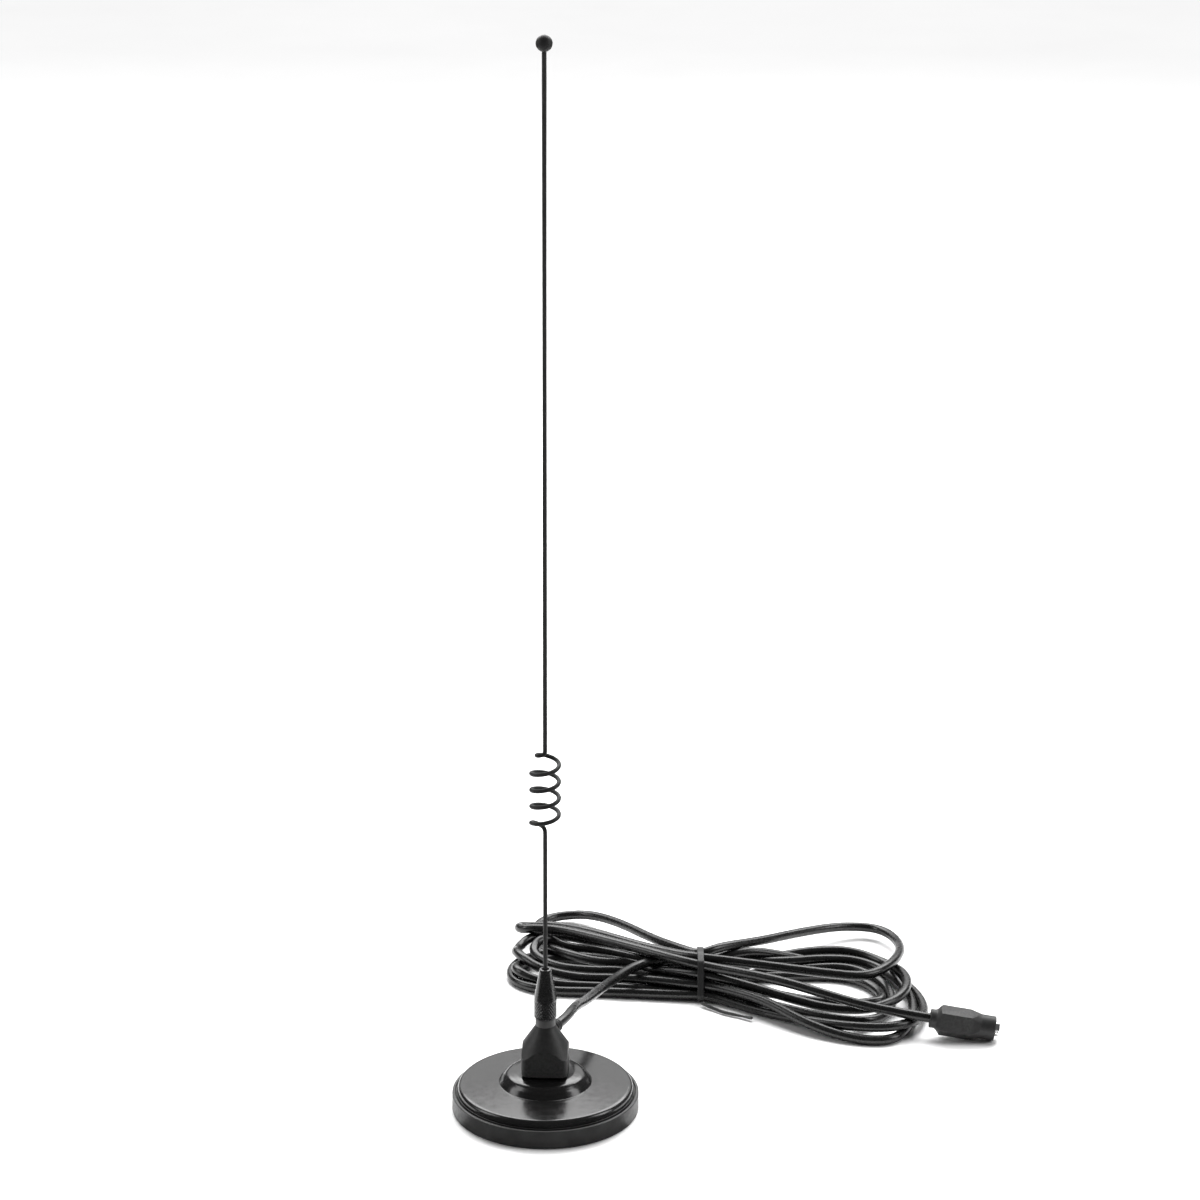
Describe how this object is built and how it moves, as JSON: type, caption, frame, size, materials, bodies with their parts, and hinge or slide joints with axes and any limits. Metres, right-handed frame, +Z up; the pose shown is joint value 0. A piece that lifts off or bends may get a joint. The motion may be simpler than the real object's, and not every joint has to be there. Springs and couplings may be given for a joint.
{
  "type": "omnidirectional antenna",
  "caption": "Whip antenna with a loading coil on a round magnetic base, with a coaxial cable tied in a hank and an in-line socket.",
  "frame": {"origin": "on the whip's axis, on the surface that the magnetic base stands on", "axes": "+Z up along the whip; the cable lies behind the base in +Y and runs to its socket in +X"},
  "size_m": [0.2729, 0.2794, 0.5177],
  "materials": {
    "rubber": "matte",
    "cover_paint": "satin",
    "magnet": "matte",
    "steel": "satin",
    "hub_paint": "matte",
    "nylon": "matte",
    "brass": "satin",
    "whip_finish": "satin",
    "cable_jacket": "satin",
    "cable_dielectric": "matte",
    "tie_plastic": "satin",
    "grip_plastic": "matte",
    "plated": "polished"
  },
  "bodies": {
    "base": {"rubber_boot": "rubber", "base_cover": "cover_paint", "ring_magnet": "magnet", "pole_core": "steel", "back_plate": "steel", "dome_spacer": "steel", "hub_bolt": "steel", "bolt_washer": "steel", "hub_gasket": "rubber", "hub_body": "hub_paint", "hub_insert": "steel", "insulating_collar": "nylon", "contact_stud": "brass", "stud_nut": "brass", "solder_lug": "brass", "strain_relief": "rubber", "braid_clamp": "brass", "cable_dielectric": "cable_dielectric", "cable_core": "brass", "cable_lead": "cable_jacket", "cable_hank": "cable_jacket", "cable_tail": "cable_jacket", "cable_tie": "tie_plastic", "connector_body": "grip_plastic", "connector_crimp": "brass", "socket_shell": "plated", "socket_insulator": "cable_dielectric", "socket_contact": "brass"},
    "seal": {"weather_seal": "rubber"},
    "whip": {"ferrule": "whip_finish", "whip_rod": "whip_finish", "tip_ball": "whip_finish"}
  },
  "joints": [
    {"name": "whip_lift", "type": "slide", "parent": "base", "child": "seal", "axis": [0, 0, 1], "range_m": [0, 0.008]},
    {"name": "whip_unscrew", "type": "hinge", "parent": "seal", "child": "whip", "pos_m": [0, 0, 0.05], "axis": [0, 0, 1], "range_deg": [0, 3600]}
  ],
  "couplings": [
    {"joint": "whip_unscrew", "follows": "whip_lift", "rad_per_m": 7854}
  ]
}
